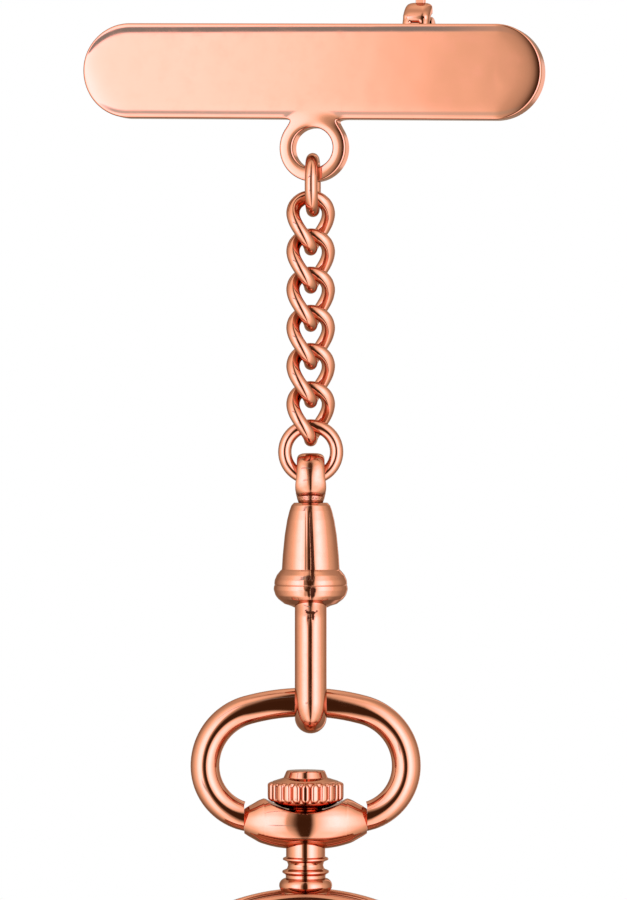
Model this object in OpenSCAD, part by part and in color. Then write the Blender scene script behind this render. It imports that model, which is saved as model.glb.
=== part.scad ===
// Chatelaine watch pin: a bar pin with a short curb chain, a swivel clasp, and a closed pocket
// watch hanging from the clasp by its bow. Millimetres. X is to the wearer's left, Z is up and
// the front faces -Y. The origin is the middle of the bar's back, where it is pinned to cloth.

/* [Bar] */
// Turn of the bar about the upright axis, so that its front faces a little to the left
bar_turn = -12; // [-20:1:20]
// Dip of the bar's right end
bar_dip = 1.1; // [-2:0.1:2]
// Length of the bar over its round ends
bar_w = 40.5; // [30:0.1:60]
// Height of the bar
bar_h = 8.2; // [6:0.1:12]
// Thickness of the bar
bar_t = 2.2; // [1.5:0.1:3]
// Width of the sloping border round the bar's front
bar_slope = 0.9; // [0.8:0.1:2]
// Drop of that border at the bar's edge
bar_drop = 0.14; // [0.1:0.02:0.5]
// Radius of the bar's edges
bar_edge = 0.15; // [0.1:0.05:0.4]

/* [Eye under the bar] */
// Side position of the eye
eye_x = 0.3; // [-1:0.05:1]
// Height of the eye's centre
eye_z = -6.6; // [-8:0.1:-6]
// Radius of the eye's ring, to the middle of its width
eye_r = 2.34; // [2:0.01:3]
// Half width of the eye's ring
eye_wire = 0.59; // [0.5:0.01:0.9]
// Thickness of the eye
eye_t = 1.8; // [1.2:0.1:2]

/* [Pin and catch] */
// Height of the pin stem
pin_z = 3.3; // [2:0.1:3.5]
// Distance of the pin stem behind the bar
pin_y = 2.55; // [2:0.05:3.5]
// Radius of the pin stem
pin_r = 0.4; // [0.3:0.05:0.6]
// Side position of the stem's root
root_x = -14; // [-17:0.5:-10]
// Side position of the catch
catch_x = 8.71; // [7:0.01:12]
// Width of the catch
catch_w = 2.3; // [1.8:0.1:3]
// Outer radius of the catch
catch_r = 2.8; // [2.2:0.1:3.2]
// Radius of the catch's turning part
roll_r = 1.75; // [1.2:0.05:2]
// Reach of the catch's thumb tab, from the stem
tab_reach = 4.4; // [3.5:0.1:5]

/* [Chain] */
// Side offset of the chain and the clasp from the bar's middle
chain_x = -0.38; // [-0.5:0.02:0.5]
// Side offset of the connecting link
join_x = -0.2; // [-0.5:0.02:0.5]
// Turn of the connecting link about the upright axis
join_turn = -7; // [-20:1:20]
// Radius of the connecting link's wire
join_wire = 0.56; // [0.4:0.02:0.8]
// Bend radius of the connecting link's ends
join_bend = 2; // [1.2:0.05:2.2]
// Half length of a curb link, to the middle of its wire
curb_a = 2.25; // [1.8:0.05:3]
// Half width of a curb link before it is twisted
curb_b = 1.87; // [1.4:0.01:2.4]
// Radius of a curb link's wire
curb_wire = 0.58; // [0.4:0.01:0.8]
// Distance from one curb link to the next
pitch = 3.3; // [2.6:0.05:4]
// Height of the first curb link's centre
curb_z = -13.07; // [-15:0.01:-12]
// Segments round a curb link
curb_seg = 16; // [12:4:16]
// Radius of the jump ring, to the middle of its wire
ring_r = 2.24; // [1.8:0.01:3]
// Radius of the jump ring's wire
ring_wire = 0.58; // [0.4:0.01:0.8]

/* [Swivel clasp] */
// Width of the swivel eye
swivel_w = 2.68; // [2:0.02:3.4]
// Outer radius of the swivel eye
swivel_r = 2.05; // [1.8:0.05:2.6]
// Radius of the swivel eye's hole
swivel_hole = 0.85; // [0.7:0.05:1.2]
// Radius of the swivel's shank
shank_r = 1.06; // [0.8:0.02:1.2]
// Radius of the shank's head inside the clasp
head_r = 1.45; // [1.2:0.05:1.6]
// Width of the hook, across its half-round bar
hook_w = 2.76; // [2:0.02:3.4]
// Radius of the hook's bend, to its flat inner face
hook_r = 1.7; // [1.5:0.05:2.5]
// Height of the centre of the hook's bend
hook_z = -54.12; // [-56:0.01:-52]
// Height of the gate's hinge
gate_z = -47.35; // [-48:0.05:-47]
// Length of the gate, from its hinge to its end
gate_len = 4.6; // [4:0.1:5]

/* [Bow] */
// Side offset of the watch from the bar's middle
watch_x = -0.82; // [-1:0.02:0.3]
// Height of the bow's widest part
bow_z = -60; // [-62:0.1:-58]
// Half width of the bow, to the middle of its wire
bow_a = 8.7; // [8:0.05:9.5]
// Height of the bow's top over its widest part
bow_b = 5.5; // [5:0.05:6]
// Radius of the bow's upper side curves
bow_side = 5; // [4:0.1:5.4]
// Radius of the bow's lower side curves
bow_low = 4.5; // [4:0.1:5]
// Radius of the bow's wire
bow_wire = 1.25; // [1:0.01:1.5]
// Gap between the bow's ends and the pendant
bow_gap = 0.02; // [0.01:0.01:0.1]

/* [Pendant and crown] */
// Height of the bow's pivots
pivot_z = -64.65; // [-66:0.05:-64]
// Half length of the pendant's barrel
barrel_x = 5.3; // [5:0.05:5.6]
// Radius of the dish under the crown
dish_r = 7.1; // [6:0.1:9]
// Lowest point of the dish
dish_z = -64.2; // [-65:0.05:-63.8]
// Radius over the crown's flutes
crown_r = 3.28; // [3:0.01:3.6]
// Number of flutes
flutes = 24; // [16:2:32]

/* [Case] */
// Radius of the case over its covers
case_r = 19.2; // [16:0.1:24]
// Height of the case's centre
case_z = -90; // [-95:0.1:-86]
// Half thickness of the case
case_y = 5.5; // [4:0.1:7]
// Half width of the case's middle band
band_y = 2.2; // [1.8:0.1:3]

/* [Hidden] */
$fn = 32;
hang_y = -bar_t / 2;
bar_arc = bar_h / 2;
fit = 0.05;
join_top = eye_z - eye_r + eye_wire + 0.21 + join_wire;
join_low = curb_z + curb_a - curb_wire - 0.05 - join_wire;
ring_z = curb_z - 5 * pitch - curb_a + curb_wire + ring_wire + 0.03 - ring_r;
hole_z = ring_z - ring_r + ring_wire + 0.03 - swivel_hole;
swivel_z = hole_z + swivel_hole + 1.53 - swivel_r;
head_z = -39.25;
bow_top = bow_z + bow_b;
bow_crest = ((bow_a - bow_side) * (bow_a - bow_side) + bow_b * bow_b - bow_side * bow_side)
    / (2 * (bow_b - bow_side));
bow_turn = atan2(bow_b - bow_crest, bow_a - bow_side);
crest_half = 90 + bow_turn;
trunnion_r = 0.5;

// Outlines turned on an axis: each row is [distance along the axis, radius].
bell_rows = [[-37.32, 1.3], [-37.4, 1.55], [-37.89, 1.81], [-38.75, 2.03], [-40.05, 2.25],
    [-41.78, 2.42], [-42.98, 2.51], [-43.5, 2.85], [-43.93, 3.11], [-44.3, 3.22], [-44.62, 3.25],
    [-44.95, 3.2], [-45.28, 3.04], [-45.55, 2.8], [-45.8, 2.5], [-46, 2.22], [-46.16, 1.7],
    [-46.35, 1.35]];
barrel_rows = [[0, 2.68], [1, 2.63], [2, 2.49], [2.9, 2.27], [3.4, 2.11], [3.9, 1.93], [4.42, 1.7],
    [4.95, 1.42], [5.3, 1.22]];
neck_rows = [[-66, 1.69], [-67.85, 1.69], [-68.04, 1.99], [-68.24, 1.62], [-68.56, 1.5],
    [-68.9, 1.62], [-69.16, 2.03], [-69.4, 1.73], [-69.85, 1.73]];
crown_rows = [[-60.4, 1.6], [-60.55, 1.7], [-61.12, 1.88], [-61.38, 2.9], [-63.1, 2.9],
    [-63.45, 2.3], [-63.66, 1.45], [-63.98, 1.4]];

/* [Node] */
// Which node to draw

rose = [0.93, 0.62, 0.48];

// Turns rows of [axis distance, radius] about Z.
module turned(rows) {
    rotate_extrude()
        polygon(concat([[0, rows[0][0]]], [for (r = rows) [r[1], r[0]]],
            [[0, rows[len(rows) - 1][0]]]));
}

// Moves a hanging piece to the middle of the bar's thickness, and sideways by x.
module hung(x) {
    translate([x, hang_y, 0]) children();
}

// Turns the bar and what it carries to the angle that it hangs at.
module pinned() {
    rotate([0, bar_dip, bar_turn]) children();
}

// A cylinder along X, centred on a point.
module rod_x(p, r, h) {
    translate(p) rotate([0, 90, 0]) cylinder(r = r, h = h, center = true);
}

// Half of the bar's section: X is the distance from the middle, Y is towards the front. The
// front slopes down towards the edge.
module bar_section() {
    shoulder = bar_t - bar_drop - bar_edge;
    polygon([[0, 0], [bar_arc - bar_edge, 0], [bar_arc, bar_edge], [bar_arc, shoulder],
        [bar_arc - 0.3 * bar_edge, shoulder + 0.7 * bar_edge], [bar_arc - bar_edge, shoulder + bar_edge],
        [bar_arc - 0.55 * bar_slope, bar_t - 0.25 * bar_drop], [bar_arc - bar_slope, bar_t],
        [0, bar_t]]);
}

module bar_blank() {
    straight = bar_w - bar_h;
    rotate([180, -90, 0]) translate([0, 0, -straight / 2]) linear_extrude(straight) {
        bar_section();
        mirror([1, 0]) bar_section();
    }
    for (s = [-1, 1])
        translate([s * straight / 2, 0, 0]) rotate([90, 0, 0]) rotate([0, 0, s * 90 - 180])
            rotate_extrude(angle = 180) bar_section();
}

// The eye: a flat ring with full edges, and a neck with a fillet on each side.
module eye() {
    edge = 0.35;
    low = -bar_arc - 0.75;
    translate([eye_x, hang_y, eye_z]) rotate([90, 0, 0]) rotate_extrude() translate([eye_r, 0]) {
        square([2 * (eye_wire - edge), eye_t], center = true);
        square([2 * eye_wire, eye_t - 2 * edge], center = true);
        for (x = [-1, 1], y = [-1, 1])
            translate([x * (eye_wire - edge), y * (eye_t / 2 - edge)]) circle(edge);
    }
    translate([eye_x, hang_y, 0]) rotate([90, 0, 0]) linear_extrude(eye_t - 0.1, center = true)
        difference() {
            translate([-2.5, low]) square([5, 1.15]);
            for (s = [-1, 1]) translate([s * 2.55, low + 0.1]) circle(0.55);
            translate([0, eye_z]) circle(eye_r);
        }
}

// The root of the pin: a solid foot and two cheeks that hold the stem's trunnions.
module hinge_block() {
    difference() {
        translate([root_x - 1.35, -0.15, 2.3]) cube([2.7, 3.75, 1.72]);
        translate([root_x - 2, 1.35, pin_z - 0.4]) cube([4, 4, 0.8]);
        translate([root_x, pin_y, 0]) cylinder(r = 0.39, h = 6);
    }
}

// The catch's fixed ring. It is open from just behind the tab down to the back, where the stem
// leaves when the tab is turned back.
module catch_ring() {
    gap = 122;
    edge = 0.5;
    difference() {
        translate([catch_x, pin_y, pin_z]) rotate([0, 90, 0]) rotate_extrude() {
            translate([0, -catch_w / 2]) square([catch_r - edge, catch_w]);
            translate([0, edge - catch_w / 2]) square([catch_r, catch_w - 2 * edge]);
            for (s = [-1, 1]) translate([catch_r - edge, s * (catch_w / 2 - edge)]) circle(edge);
        }
        rod_x([catch_x, pin_y, pin_z], roll_r + fit, catch_w + 1);
        translate([catch_x, pin_y, pin_z]) rotate([90, 0, 90]) rotate([0, 0, -20])
            rotate_extrude(angle = gap) translate([0, -2]) square([4, 4]);
    }
    translate([catch_x - catch_w / 2, -0.15, 0.6]) cube([catch_w, 0.35, 3.2]);
}

module bar_plate() {
    color(rose) pinned() {
        bar_blank();
        eye();
        hinge_block();
        catch_ring();
    }
}

// The stem with its flat root, its trunnions and its point.
module pin_stem() {
    end_x = catch_x + 2.6;
    color(rose) pinned() {
        translate([root_x, pin_y, pin_z - 0.35]) cylinder(r = 1.1, h = 0.7);
        translate([root_x, pin_y, 2.45]) cylinder(r = 0.35, h = 1.5);
        translate([root_x, pin_y, pin_z]) rotate([0, 90, 0])
            cylinder(r = pin_r * 0.85, h = end_x - 1.5 - root_x);
        translate([root_x + 1.2, pin_y, pin_z]) rotate([0, 90, 0])
            cylinder(r = pin_r, h = end_x - 2.7 - root_x);
        translate([end_x - 1.5, pin_y, pin_z]) rotate([0, 90, 0])
            cylinder(r1 = pin_r, r2 = 0.05, h = 1.5);
    }
}

// The catch's turning part, shut: its slot is inside the fixed ring and its tab stands up.
module catch_lever() {
    color(rose) pinned() {
        difference() {
            rod_x([catch_x, pin_y, pin_z], roll_r, catch_w);
            rod_x([catch_x, pin_y, pin_z], pin_r + 0.1, catch_w + 1);
            translate([catch_x, pin_y, pin_z]) rotate([150, 0, 0])
                translate([-3, 0, -pin_r - 0.1]) cube([6, 4, 2 * pin_r + 0.2]);
        }
        translate([catch_x - 0.45, pin_y - 0.35, pin_z + 0.9]) cube([0.9, 0.7, tab_reach - 1.35]);
        translate([catch_x, pin_y - 0.35, pin_z + tab_reach - 0.45]) rotate([-90, 0, 0])
            cylinder(r = 0.45, h = 0.7);
    }
}

// The plain oval link, edge-on to the front, that joins the eye to the first curb link.
module connecting_link() {
    low = join_low + join_bend;
    high = join_top - join_bend;
    color(rose) hung(join_x) rotate([0, 0, join_turn]) {
        for (e = [[high, 0], [low, 180]])
            translate([0, 0, e[0]]) rotate([90, 0, 90]) rotate([0, 0, e[1]])
                rotate_extrude(angle = 180) translate([join_bend, 0]) circle(join_wire);
        for (s = [-1, 1])
            translate([0, s * join_bend, low]) cylinder(r = join_wire, h = high - low);
    }
}

// Triangles between rings of points, for a bar that closes on itself or that has two ends.
function tube_faces(rings, sides, closed) =
    [for (i = [0:rings - (closed ? 1 : 2)], k = [0:sides - 1])
        let (j = (i + 1) % rings, m = (k + 1) % sides, a = i * sides + k, b = i * sides + m,
            c = j * sides + m, d = j * sides + k) each [[a, c, b], [a, d, c]]];

// A point on a twisted curb link's centre line: the oval turns by a quarter from top to bottom.
function curb_at(f) = let (t = 45 * (1 - sin(f)))
    [curb_b * cos(f) * cos(t), curb_b * cos(f) * sin(t), curb_a * sin(f)];
function unit(v) = v / norm(v);

module curb_link(n) {
    sides = 6;
    verts = [for (i = [0:curb_seg - 1]) let (f = 90 + i * 360 / curb_seg, p = curb_at(f),
        t = unit(curb_at(f + 2) - curb_at(f - 2)), o = unit(p), u = unit(o - (o * t) * t),
        w = cross(t, u)) for (k = [0:sides - 1]) let (a = k * 360 / sides)
            p + curb_wire * (cos(a) * u + sin(a) * w)];
    color(rose) hung(chain_x) translate([0, 0, curb_z - (n - 1) * pitch])
        polyhedron(points = verts, faces = tube_faces(curb_seg, sides, true));
}

module jump_ring() {
    color(rose) hung(chain_x) translate([0, 0, ring_z]) rotate([90, 0, 0]) rotate_extrude()
        translate([ring_r, 0]) circle(ring_wire);
}

// The swivel: a thick eye seen edge-on, and the shank whose head turns inside the clasp.
module swivel_eye() {
    rim = 0.8;
    half = swivel_w / 2;
    color(rose) hung(chain_x) {
        difference() {
            translate([0, 0, swivel_z]) rotate([0, 90, 0]) rotate_extrude() {
                translate([0, -half]) square([swivel_r - rim, swivel_w]);
                translate([0, rim - half]) square([swivel_r, swivel_w - 2 * rim]);
                for (s = [-1, 1]) translate([swivel_r - rim, s * (half - rim)]) circle(rim);
            }
            translate([0, 0, hole_z]) rotate([0, 90, 0]) rotate_extrude() difference() {
                translate([0, -2]) square([swivel_hole + half, 4]);
                translate([swivel_hole + half, 0]) circle(half);
            }
        }
        translate([0, 0, head_z - 0.1]) cylinder(r = shank_r, h = -36.5 - head_z + 0.1);
        translate([0, 0, head_z - 0.9]) cylinder(r = head_r, h = 0.9);
    }
}

// The hook's section: a half-round bar with its flat face at the bend's inner radius.
module hook_section() {
    translate([hook_r, 0]) difference() {
        circle(hook_w / 2);
        translate([-hook_w, -hook_w]) square([hook_w, 2 * hook_w]);
    }
}

// The clasp's casting: the bell over the swivel's head, the collar, the hook and the gate's ears.
module clasp_body() {
    hole = head_r + fit;
    tip = gate_z - gate_len;
    color(rose) hung(chain_x) difference() {
        union() {
            turned(bell_rows);
            translate([0, 0, hook_z]) rotate([0, 0, -90]) linear_extrude(-44.5 - hook_z) hook_section();
            translate([0, 0, hook_z]) rotate([90, 0, 90]) rotate([0, 0, 180])
                rotate_extrude(angle = 180) hook_section();
            translate([0, 0, hook_z]) rotate([0, 0, 90]) linear_extrude(tip - hook_z + 1) hook_section();
            for (s = [-1, 1]) {
                translate([s * 0.98 - 0.37, 1.5, gate_z]) cube([0.74, 1.5, 2.2]);
                rod_x([s * 0.98, 2.25, gate_z], 0.75, 0.74);
            }
        }
        translate([0, 0, head_z - 1]) cylinder(r = hole, h = 1.05);
        translate([0, 0, head_z - 0.5]) cylinder(r = shank_r + 0.04, h = 4);
        translate([0, 2.25, gate_z]) rotate([0, 90, 0]) rotate_extrude()
            translate([0.8, -0.65]) square([gate_len + 0.06 - 0.8, 0.02]);
        rod_x([0, 2.25, gate_z], 0.28, 4);
        difference() {
            translate([-2, 1.2, tip - 2]) cube([4, 3, 5.8]);
            translate([-2, 1, gate_z - 1.4]) cube([4, 4, 8]);
            translate([-3, 1, tip - 3]) cube([6, 4, 3]);
        }
    }
}

// The sprung gate that shuts the hook at the back, with its knuckle and pin.
module hook_gate() {
    tip = gate_z - gate_len;
    color(rose) hung(chain_x) {
        rod_x([0, 2.25, gate_z], 0.75, 1.1);
        rod_x([0, 2.25, gate_z], 0.24, 2.6);
        translate([-0.55, 1.7, gate_z - 1.5]) cube([1.1, 1.1, 1.5]);
        translate([-1.2, 1.7, tip + 0.05]) cube([2.4, 1.1, gate_len - 1.35]);
    }
}

// Sections along the right half of the bow, from its end up to the crest: each row is the
// centre's X and Z and the outward direction's X and Z.
function on_arc(c, r, t) = [c[0] + r * cos(t), c[1] + r * sin(t), cos(t), sin(t)];
function bow_half() = let (face = barrel_x + bow_gap, low = [bow_a - bow_low, bow_z],
    first = -acos((face - low[0]) / bow_low), side = [bow_a - bow_side, bow_z],
    crest = [0, bow_top - bow_crest], last = 90 - crest_half)
    concat([[face, bow_z + bow_low * sin(first), 0, -1.03]],
        [for (i = [1:8]) on_arc(low, bow_low, first * (1 - i / 8))],
        [for (i = [1:7]) on_arc(side, bow_side, last * i / 7)],
        [for (i = [1:2]) on_arc(crest, bow_crest, last + crest_half * i / 3)]);

// The bow: an oval ring whose lower ends face the pendant and carry its pivots.
module bow() {
    sides = 16;
    half = bow_half();
    n = len(half);
    rows = concat(half, [[0, bow_top, 0, 1]],
        [for (i = [n - 1:-1:0]) [-half[i][0], half[i][1], -half[i][2], half[i][3]]]);
    verts = [for (r = rows, k = [0:sides - 1]) let (a = k * 360 / sides)
        [r[0] + bow_wire * cos(a) * r[2], bow_wire * sin(a), r[1] + bow_wire * cos(a) * r[3]]];
    top = (len(rows) - 1) * sides;
    faces = concat([[for (k = [0:sides - 1]) k]], [[for (k = [0:sides - 1]) top + sides - 1 - k]],
        tube_faces(len(rows), sides, false));
    color(rose) hung(watch_x) {
        polyhedron(points = verts, faces = faces);
        for (s = [-1, 1]) rod_x([s * barrel_x, 0, pivot_z], trunnion_r, 1.8);
    }
}

// The pendant: a barrel between the bow's ends, dished under the crown, on a turned neck.
module pendant() {
    color(rose) hung(watch_x) difference() {
        union() {
            for (s = [-1, 1]) translate([0, 0, pivot_z - 0.15]) rotate([0, s * 90, 0])
                turned(barrel_rows);
            turned(neck_rows);
            translate([0, 0, -70.32]) rotate_extrude() translate([1.66, 0]) circle(0.63);
            translate([0, 0, -71.27]) cylinder(r = 1.86, h = 1.5);
            translate([0, 0, -72.4]) cylinder(r = 1.2, h = 2);
        }
        translate([0, 0, dish_z + dish_r]) sphere(dish_r);
        translate([0, 0, -68]) cylinder(r = 0.85, h = 6);
        for (s = [-1, 1]) rod_x([s * (barrel_x - 0.5), 0, pivot_z], trunnion_r + fit, 1.5);
    }
}

// The fluted winding crown with its button and its short stem.
module crown() {
    color(rose) hung(watch_x) {
        turned(crown_rows);
        for (i = [0:flutes - 1]) rotate([0, 0, i * 360 / flutes]) {
            translate([crown_r - 0.36, 0, -63]) cylinder(r = 0.36, h = 1.6);
            translate([crown_r - 0.36, 0, -63]) sphere(0.36);
        }
        translate([0, 0, -67.5]) cylinder(r = 0.8, h = 4);
    }
}

// Turns rows about the case's axis: the rows' first column runs towards the front for side 1.
module cased(side, rows) {
    hung(watch_x) translate([0, 0, case_z]) rotate([side * 90, 0, 0]) rotate_extrude()
        polygon([for (r = rows) [r[1], r[0]]]);
}

module case_middle() {
    color(rose) difference() {
        cased(1, [[-band_y, 0], [-band_y, 18.3], [-band_y + 0.4, 18.7], [band_y - 0.4, 18.7],
            [band_y, 18.3], [band_y, 0]]);
        hung(watch_x) translate([0, 0, case_z + 16.2]) cylinder(r = 1.23, h = 4);
    }
}

module cover(side) {
    y0 = band_y + fit;
    color(rose) cased(side, [[y0, 17.8], [y0, case_r - 0.3], [y0 + 0.3, case_r], [y0 + 0.75, case_r],
        [y0 + 1.05, case_r - 0.3], [y0 + 1.2, case_r - 0.9], [case_y - 1.3, 15.6],
        [case_y - 0.7, 12], [case_y - 0.25, 7.5], [case_y - 0.04, 3.2], [case_y, 0],
        [case_y - 0.6, 0], [case_y - 0.85, 7.5], [case_y - 1.3, 12], [case_y - 1.9, 15.6]]);
}

module front_cover() {
    cover(1);
}

module back_cover() {
    cover(-1);
}

bar_plate();
pin_stem();
catch_lever();
connecting_link();
curb_link(1);  // curb_link_1
curb_link(2);  // curb_link_2
curb_link(3);  // curb_link_3
curb_link(4);  // curb_link_4
curb_link(5);  // curb_link_5
curb_link(6);  // curb_link_6
jump_ring();
swivel_eye();
clasp_body();
hook_gate();
bow();
pendant();
crown();
case_middle();
front_cover();
back_cover();
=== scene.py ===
"""A chatelaine watch pin in rose gold plate: a bar with an eye, a curb chain, a swivel clasp and a
shut pocket watch.

Sizes are millimetres until a piece is made. +X is to the right in the picture, +Z is up, and the
front faces -Y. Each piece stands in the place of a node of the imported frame.
"""

import math

import bpy
from mathutils import Matrix, Vector


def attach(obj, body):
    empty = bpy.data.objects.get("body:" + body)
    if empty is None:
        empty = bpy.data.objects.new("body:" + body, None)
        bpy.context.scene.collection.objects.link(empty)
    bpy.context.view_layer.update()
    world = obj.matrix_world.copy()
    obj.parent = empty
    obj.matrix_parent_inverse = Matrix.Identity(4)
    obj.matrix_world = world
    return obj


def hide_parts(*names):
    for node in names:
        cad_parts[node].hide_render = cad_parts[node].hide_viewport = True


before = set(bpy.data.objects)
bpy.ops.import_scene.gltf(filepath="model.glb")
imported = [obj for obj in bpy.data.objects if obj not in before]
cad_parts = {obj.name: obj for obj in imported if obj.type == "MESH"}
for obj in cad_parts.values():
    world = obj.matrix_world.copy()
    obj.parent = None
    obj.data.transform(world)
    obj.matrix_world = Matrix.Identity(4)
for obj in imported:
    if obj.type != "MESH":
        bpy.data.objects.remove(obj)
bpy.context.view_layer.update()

MM = 0.001
RIGHT, BACK, FRONT, UP = Vector((1, 0, 0)), Vector((0, 1, 0)), Vector((0, -1, 0)), Vector((0, 0, 1))

# The chain and the watch hang in the middle of the bar's thickness
HANG_Y = -1.1
CHAIN_X = -0.38
WATCH_X = -0.82

# The bar: a straight part with two round ends, turned and dipped as it hangs
BAR_MATRIX = (Matrix.Rotation(math.radians(-12), 3, "Z")
              @ Matrix.Rotation(math.radians(1.1), 3, "Y"))
BAR_HALF = 16.135
BAR_ARC = 4.1
BAR_THICK = 2.2
BAR_EDGE = 0.18
BAR_GRID = 0.17
EYE_FILLET = 1.2

# The front's soft border: its slope at the edge in degrees, and its reach. The lower edge's and the
# eye's are added to the upper edge's
BORDER_ANGLE = dict(upper=9, lower=5, eye=-1, end=10.5, hole=13)
BORDER_REACH = dict(upper=0.5, lower=0.3, eye=-0.32, end=0.49, hole=0.38)

# The eye under the bar: its centre, its radii, and how far its front and its back are set in
EYE = (0.3, -6.6)
EYE_OUT = 2.93
EYE_HOLE = 1.75
EYE_FRONT = 0.15
EYE_BACK = 0.25

# The catch's centre, half width and radii, and the pin behind the bar
CATCH = (8.71, 2.55, 3.3)
CATCH_HALF = 1.15
CATCH_OUT = 3.05
CATCH_IN = 1.95
ROLL_OUT = 1.75
ROLL_IN = 0.5
PIN_ROOT = -14.0
PIN_TIP = CATCH[0] + 2.6
PIN_R = 0.4

# The chain
JOIN = dict(x=-0.2, turn=math.radians(-4), wire=0.56, bend=2.0, top=-7.58, low=-12.01)
CURB = dict(a=2.25, b=1.87, wire=0.58, pitch=3.3, z=-13.07, count=6)
RING = dict(z=-32.86, r=2.24, wire=0.58)

# The swivel clasp
SWIVEL = dict(hole_z=-35.34, hole=0.85, z=-35.01, r=2.05)
HOOK = dict(r=1.7, z=-54.12, half=1.38)
GATE_Z = -47.35
GATE_Y = 2.25
GATE_TIP = -51.95

# The bow, the pendant and the crown. A saddle of this height and radius hollows the pendant
BOW = dict(z=-60.0, a=8.7, b=5.5, side=5.0, low=4.5, wire=1.25, face=5.32)
PIVOT_Z = -64.65
BARREL = dict(half=5.3, z=PIVOT_Z - 0.13, bulge=9, inside=6.25, rim=0.14)
SADDLE_Z = -63.93
SADDLE_R = 6.3
CROWN = dict(flutes=24, ridge=0.3, half=0.37, edge=0.27, r=3.1, top=-61.76, low=-62.72)

# The case
CASE = dict(r=19.2, z=-90.0, y=5.5, band=2.2, dome_r=15.6, dome=1.3)

# Rose gold as a mirror's colour: on the bar, on the rest, and where it is dull
BAR_ROSE = (0.93, 0.46, 0.31)
ROSE = (0.93, 0.45, 0.3)
DEEP_ROSE = (0.91, 0.42, 0.27)
EDGE_TINT = (0.72, 0.6, 0.52, 1)
# Painted shade: a dark brown mixed into the casting marks and the swivel's foot
MARK_SHADE = (0.1, 0.03, 0.015)

# The height of a scratch in millimetres, and how much rougher scratches and the casting marks are
SCRATCH = 0.0006
SCRATCH_ROUGH = 0.08
MARK_ROUGH = 0.3

# The studio's light straight above and below, on its two cards and on the floor, and its strength
# as mirrored once and again
ZENITH = (0.16, 0.125, 0.1)
NADIR = (0.2, 0.155, 0.125)
LOW_CARD = (0.06, 0.125, 0.14)
HIGH_CARD = (0.26, 0.36, 0.43, 1)
EVEN = (0.24, 0.24, 0.24)
MIRRORED_ONCE = 4.0
MIRRORED_AGAIN = 2.2


def arc(centre, radius, start, end, steps):
    """Points along a part of a circle, angles in degrees."""
    return [(centre[0] + radius * math.cos(math.radians(start + (end - start) * i / steps)),
             centre[1] + radius * math.sin(math.radians(start + (end - start) * i / steps)))
            for i in range(steps + 1)]


def filleted(corners, steps):
    """Rounds the inner corners of an outline. A corner is (x, y) or (x, y, radius)."""
    points = []
    for i, corner in enumerate(corners):
        here = Vector(corner[:2])
        if len(corner) < 3 or i in (0, len(corners) - 1):
            points.append(tuple(here))
            continue
        before = Vector(corners[i - 1][:2]) - here
        after = Vector(corners[i + 1][:2]) - here
        back = corner[2] / math.tan(before.angle(after) / 2)
        back = min(back, 0.499 * before.length, 0.499 * after.length)
        start, end = here + before.normalized() * back, here + after.normalized() * back
        for k in range(steps + 1):
            t = k / steps
            points.append(tuple((1 - t) ** 2 * start + 2 * t * (1 - t) * here + t * t * end))
    return points


def soft_box(half_a, half_b, radius):
    """A closed section: a rectangle with round corners."""
    points = []
    for sa, sb, start in ((1, 1, 0), (-1, 1, 90), (-1, -1, 180), (1, -1, 270)):
        centre = (sa * (half_a - radius), sb * (half_b - radius))
        points += arc(centre, radius, start, start + 90, 5)
    return points


def half_round(radius, edge):
    """A closed section: a half circle whose flat side has round corners."""
    start = math.degrees(math.asin(edge / (radius - edge)))
    centre = math.sqrt((radius - edge) ** 2 - edge ** 2)
    return (arc((0, 0), radius, start - 90, 90 - start, 32)
            + arc((edge, centre), edge, 90 - start, 180, 5)
            + arc((edge, -centre), edge, 180, 270 + start, 5))


def superellipse(half_a, half_b, power, steps):
    """A closed section between an ellipse, power 2, and a rectangle."""
    points = []
    for i in range(steps):
        t = 2 * math.pi * i / steps
        c, s = math.cos(t), math.sin(t)
        points.append((half_a * math.copysign(abs(c) ** (2 / power), c),
                       half_b * math.copysign(abs(s) ** (2 / power), s)))
    return points


def between(rows, x):
    """Reads a table of (x, value) rows with a smooth curve through them."""
    for i in range(len(rows) - 1):
        if x <= rows[i + 1][0]:
            break
    (x0, a), (x1, b) = rows[i], rows[i + 1]
    before, after = rows[max(i - 1, 0)], rows[min(i + 2, len(rows) - 1)]
    t = min(max((x - x0) / (x1 - x0), 0), 1)
    m0 = (b - before[1]) / (x1 - before[0]) * (x1 - x0)
    m1 = (after[1] - a) / (after[0] - x0) * (x1 - x0)
    return ((2 * t ** 3 - 3 * t ** 2 + 1) * a + (t ** 3 - 2 * t ** 2 + t) * m0
            + (3 * t ** 2 - 2 * t ** 3) * b + (t ** 3 - t ** 2) * m1)


def ease(low, high, x):
    """A smooth step from 0 at low to 1 at high."""
    t = min(max((x - low) / (high - low), 0), 1)
    return t * t * (3 - 2 * t)


def bell_curve(x, width):
    return math.exp(-(x / width) ** 2)


def loft(rings, closed=False):
    """Faces between rings of points that have the same count, with caps where it is open."""
    count = len(rings[0])
    verts = [p for ring in rings for p in ring]
    faces = []
    for i in range(len(rings) if closed else len(rings) - 1):
        j = (i + 1) % len(rings)
        for k in range(count):
            m = (k + 1) % count
            faces.append((i * count + k, i * count + m, j * count + m, j * count + k))
    if not closed:
        faces.append(tuple(range(count))[::-1])
        faces.append(tuple((len(rings) - 1) * count + k for k in range(count)))
    return verts, faces


def swept(path, section, closed=False):
    """Sweeps a section along a path of (centre, first axis, second axis)."""
    return loft([[c + a * u + b * w for a, b in section] for c, u, w in path], closed)


def wheel_path(centre, radius, start, span, steps):
    """A path round an axis that points right, angles in degrees."""
    path = []
    for i in range(steps + 1):
        t = math.radians(start + span * i / steps)
        out = Vector((0, math.cos(t), math.sin(t)))
        path.append((Vector(centre) + out * radius, out, RIGHT))
    return path


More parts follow.
